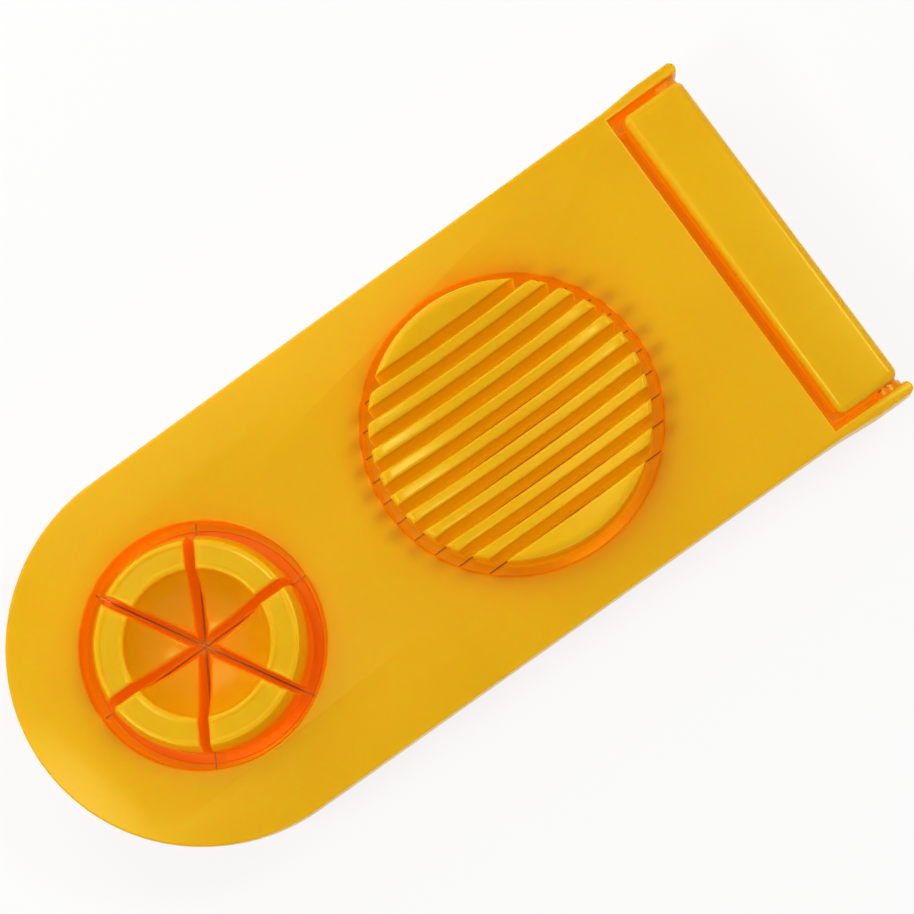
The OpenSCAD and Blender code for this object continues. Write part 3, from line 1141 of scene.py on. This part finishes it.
@dataclass
class WedgeCup:
    """Six-part cup: an egg's hollow inside two raised rings, with a sloping shoulder outside."""

    plan: Plan
    radius: float = 22.8
    top: float = 35.0
    outer_ridge: float = 20.9
    inner_ridge: float = 16.3
    ridge_r: float = 0.9
    land_drop: float = 0.15
    egg_r: float = 17.5
    shoulder: float = 4.2
    slot: float = 1.9
    edge: float = 0.9
    outer_edge: float = 0.35
    crease: float = 0.2
    foot_z: float = 18.1
    bowl_steps: int = 20
    ridge_steps: int = 16
    land_steps: int = 5
    turn_steps: int = 12

    def top_at(self, rho: float) -> float:
        """Gives the height of the cup's top at a distance from its middle.

        Args:
            rho: Distance from the middle.

        Returns:
            Height of hollow, rings, land or shoulder.
        """
        reach = self.inner_ridge - self.ridge_r / 2
        land = self.top - self.land_drop
        bowl_z = land + math.sqrt(self.egg_r**2 - reach**2)
        # the shoulder starts on the outer ring's flank
        start, drop = self.outer_ridge + 0.7 * self.ridge_r, 0.3 * self.ridge_r
        if rho < reach:
            level = bowl_z - math.sqrt(self.egg_r**2 - rho * rho)
        elif rho < start:
            level = land
        else:
            share = (rho - start) / (self.radius - start)
            level = self.top - drop - share * (self.shoulder - drop)
            level -= edge_drop(self.radius - rho, self.outer_edge)
        for ring in (self.inner_ridge, self.outer_ridge):
            d = abs(rho - ring)
            if d < self.ridge_r:
                crest = self.top - self.ridge_r + math.sqrt(self.ridge_r**2 - d * d)
                level = -soft_step(-level, -crest, self.crease)
        return level

    def rings(self) -> list[float]:
        """Lists the distances from the middle at which the cup's top has a row of points.

        Returns:
            The distances, closer together over the rings and the rounded edge.
        """
        inner, outer, crest = self.inner_ridge, self.outer_ridge, self.ridge_r + 0.1
        stretches = (
            (self.slot + STEP_BACK, inner - crest, self.bowl_steps),
            (inner - crest, inner + crest, self.ridge_steps),
            (inner + crest, outer - crest, self.land_steps),
            (outer - crest, outer + crest, self.ridge_steps),
        )
        rings = [a + (b - a) * k / n for a, b, n in stretches for k in range(n)]
        rings += [outer + crest + 0.1, (outer + crest + self.radius) / 2 - 0.1]
        edge = [self.radius - self.outer_edge * (1 - math.sin(a)) for a in quarter(EDGE_STEPS)]
        return rings + edge

    def sector(self, turn: float) -> bpy.types.Object:
        """Makes one of the six parts between the slots.

        Args:
            turn: Direction of its middle line, in radians.

        Returns:
            The part.
        """
        half_slot, half_turn = self.slot / 2, math.pi / CUP_PARTS
        rows = []
        for rho in self.rings():
            reach = half_turn - math.asin(half_slot / rho)
            side = 2 * rho * math.sin(reach / 2) if reach > 0 else 0.0
            widest = max(side * 0.9, 0.0)
            near = [min(self.edge * (1 - math.cos(a)), widest) for a in quarter(EDGE_STEPS)]
            start = [math.asin((half_slot + d) / rho) - half_turn for d in near]
            start = [min(a, 0.0) for a in start]
            last = start[-1]
            n = self.turn_steps
            middle = [last - 2 * last * k / n for k in range(1, n)]
            angles = start + middle + [-a for a in reversed(start)]
            rows.append([(rho * math.cos(turn + a), rho * math.sin(turn + a)) for a in angles])

        def height(_i: int, _j: int, point: Point2) -> float:
            """Gives the top's height at a point of the grid.

            Args:
                point: Its place about the cup's middle.

            Returns:
                The height, lower near the slots.
            """
            rho = math.hypot(*point)
            angle = math.atan2(point[1], point[0]) - turn
            angle = (angle + math.pi) % (2 * math.pi) - math.pi
            d = rho * math.sin(half_turn - abs(angle)) - half_slot
            return self.top_at(rho) - edge_drop(d, self.edge)

        return cell("sector", rows, height, self.foot_z)

    def build(self, plastic: bpy.types.Material) -> None:
        """Makes the cup and puts it in place.

        Args:
            plastic: Material of the moulding.
        """
        foot, x = Insert(self.radius), self.plan.wedge_x
        body = foot.build("cup_insert", x)
        parts = [self.sector(math.pi * (2 * k + 1) / CUP_PARTS) for k in range(CUP_PARTS)]
        foot.finish(body, parts, x)
        place(body, Body.BASE, Slot.PLASTIC, plastic, "wedge_cup")


@dataclass
class Ironmongery:
    """Wires, pins and clamp rings, whose solids are shown as they are."""

    wires: tuple[str, ...] = field(
        default_factory=lambda: tuple(f"slicing_wire_{i:02d}" for i in range(1, 11))
        + tuple(f"wedge_wire_{i}" for i in range(1, 4))
    )
    pins: tuple[str, ...] = ("hinge_pin_left", "hinge_pin_right")
    rings: tuple[str, ...] = ("slicing_wire_ring", "wedge_wire_ring")

    def dress(
        self,
        nodes: dict[str, bpy.types.Object],
        plastic: bpy.types.Material,
        steel: bpy.types.Material,
    ) -> None:
        """Gives each carried-over solid its material.

        Args:
            nodes: The solids by name.
            plastic: Material of the clamp rings.
            steel: Material of wires and pins.
        """
        for names, material in ((self.wires + self.pins, steel), (self.rings, plastic)):
            for name in names:
                dress(nodes[name], material)
                smooth(nodes[name], CREASE_DEG)
                LOG.info("%s: solid kept, %s", name, material.name)


# ---- the studio ----


@dataclass(frozen=True)
class SoftBox:
    """One rectangular soft box that faces the slicer, with its power in watts."""

    name: str
    place_mm: Point3
    size_mm: Point2
    power: float
    aim_mm: Point3 = (0, 0, 30)

    def build(self) -> None:
        """Hangs the soft box."""
        lamp = bpy.data.lights.new(self.name, "AREA")
        lamp.shape = "RECTANGLE"
        lamp.size, lamp.size_y = self.size_mm[0] * MM, self.size_mm[1] * MM
        lamp.energy = self.power
        thing = bpy.data.objects.new(self.name, lamp)
        thing.location = Vector(self.place_mm) * MM
        aim = Vector(self.aim_mm) * MM - thing.location
        thing.rotation_mode = "QUATERNION"
        thing.rotation_quaternion = aim.to_track_quat("-Z", "Y")
        bpy.context.scene.collection.objects.link(thing)


@dataclass
class Studio:
    """White surface, soft boxes and the camera above the slicer."""

    camera_mm: Point3 = (1.92, -87.1, 677.03)
    camera_turn_deg: Point3 = (6.7511, 3.821, -35.4325)
    focal_px: float = 3100.0
    frame_px: float = 914.0
    sensor_mm: float = 36.0
    floor_mm: float = 1500.0
    boxes: tuple[SoftBox, ...] = (
        SoftBox("box_front", (-350, 0, 560), (150, 150), 1.25),
        SoftBox("box_rear", (350, 0, 560), (150, 150), 1.25),
        SoftBox("box_side", (-60, 260, 300), (200, 500), 0.6),
    )
    wall_strength: float = 1.4
    roof_strength: float = 0.16
    light_bounces: int = 10

    def floor(self, board: bpy.types.Material) -> None:
        """Lays the white surface under the slicer.

        Args:
            board: Its material.
        """
        size = self.floor_mm
        corners = [(-size, -size, 0), (size, -size, 0), (size, size, 0), (-size, size, 0)]
        sheet = mesh_object("surface", corners, [range(4)])
        dress(sheet, board)

    def light(self) -> None:
        """Sets the soft surround, a soft box above each end of the tool and a large one beside it."""
        world = bpy.data.worlds.new("surround")
        world.use_nodes = True
        tree = world.node_tree
        tree.nodes.clear()
        # light tent: its walls, low round the object, are brighter than its roof
        way = add_node(tree, "ShaderNodeTexCoord").outputs["Generated"]
        height = add_node(tree, "ShaderNodeSeparateXYZ", inputs={0: way}).outputs["Z"]
        tent = map_range(tree, height, (0.1, 0.5), (self.wall_strength, self.roof_strength))
        white = {"Color": linear("FFFFFF")}
        glow = add_node(tree, "ShaderNodeBackground", inputs={**white, "Strength": tent})
        backdrop = add_node(tree, "ShaderNodeBackground", inputs={**white, "Strength": 1.0})
        mix = add_node(
            tree,
            "ShaderNodeMixShader",
            inputs={0: sees_background(tree, 1.0), 1: glow.outputs[0], 2: backdrop.outputs[0]},
        )
        add_node(tree, "ShaderNodeOutputWorld", inputs={"Surface": mix.outputs[0]})
        bpy.context.scene.world = world
        for box in self.boxes:
            box.build()

    def camera(self) -> None:
        """Sets the camera above the slicer, with a long lens."""
        lens = bpy.data.cameras.new("camera")
        lens.sensor_width = self.sensor_mm
        lens.lens = self.sensor_mm * self.focal_px / self.frame_px
        lens.clip_start, lens.clip_end = 0.01, 10.0
        thing = bpy.data.objects.new("camera", lens)
        thing.location = Vector(self.camera_mm) * MM
        thing.rotation_euler = Euler([math.radians(a) for a in self.camera_turn_deg], "XYZ")
        bpy.context.scene.collection.objects.link(thing)
        bpy.context.scene.camera = thing

    def build(self, board: bpy.types.Material) -> None:
        """Makes the surface, the lights and the camera.

        Args:
            board: Material of the surface.
        """
        self.floor(board)
        self.light()
        self.camera()
        scene = bpy.context.scene
        scene.view_settings.view_transform = "Standard"
        # light passes many times between the walls of the deep slots
        scene.cycles.diffuse_bounces = self.light_bounces


def main() -> None:
    """Builds the slicer and the studio."""
    logging.basicConfig(level=logging.INFO, format="%(name)s %(message)s")
    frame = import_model()
    plastic = MouldedPlastic().build()
    # copies of the plastic whose painted shade and painted glow are set part by part
    base_painted_light = MouldedPlastic(
        "yellow_polypropylene_thick_base", through_tone="FFB400", through_light=0.25
    ).build()
    ribs_painted_light = MouldedPlastic(
        "yellow_polypropylene_thin_ribs",
        shade_tone="E08C00",
        through_tone="FFE600",
        through_light=0.16,
    ).build()
    cup_painted_light = MouldedPlastic(
        "yellow_polypropylene_thick_cup",
        shade_tone="EA6C00",
        shade_sky=(0.6, 1.0),
        through_tone="FFA400",
        through_light=0.14,
        through_sky=(0.05, 1.0),
    ).build()
    steel = DrawnSteel().build()
    plan = Plan()
    Studio().build(WhiteSweep().build())
    BaseTray(plan).build(base_painted_light)
    SlicingCradle(plan).build(ribs_painted_light)
    WedgeCup(plan).build(cup_painted_light)
    CuttingFrame(plan).build(plastic)
    Ironmongery().dress(frame["nodes"], plastic, steel)
    bpy.context.view_layer.update()


if __name__ == "__main__":
    main()
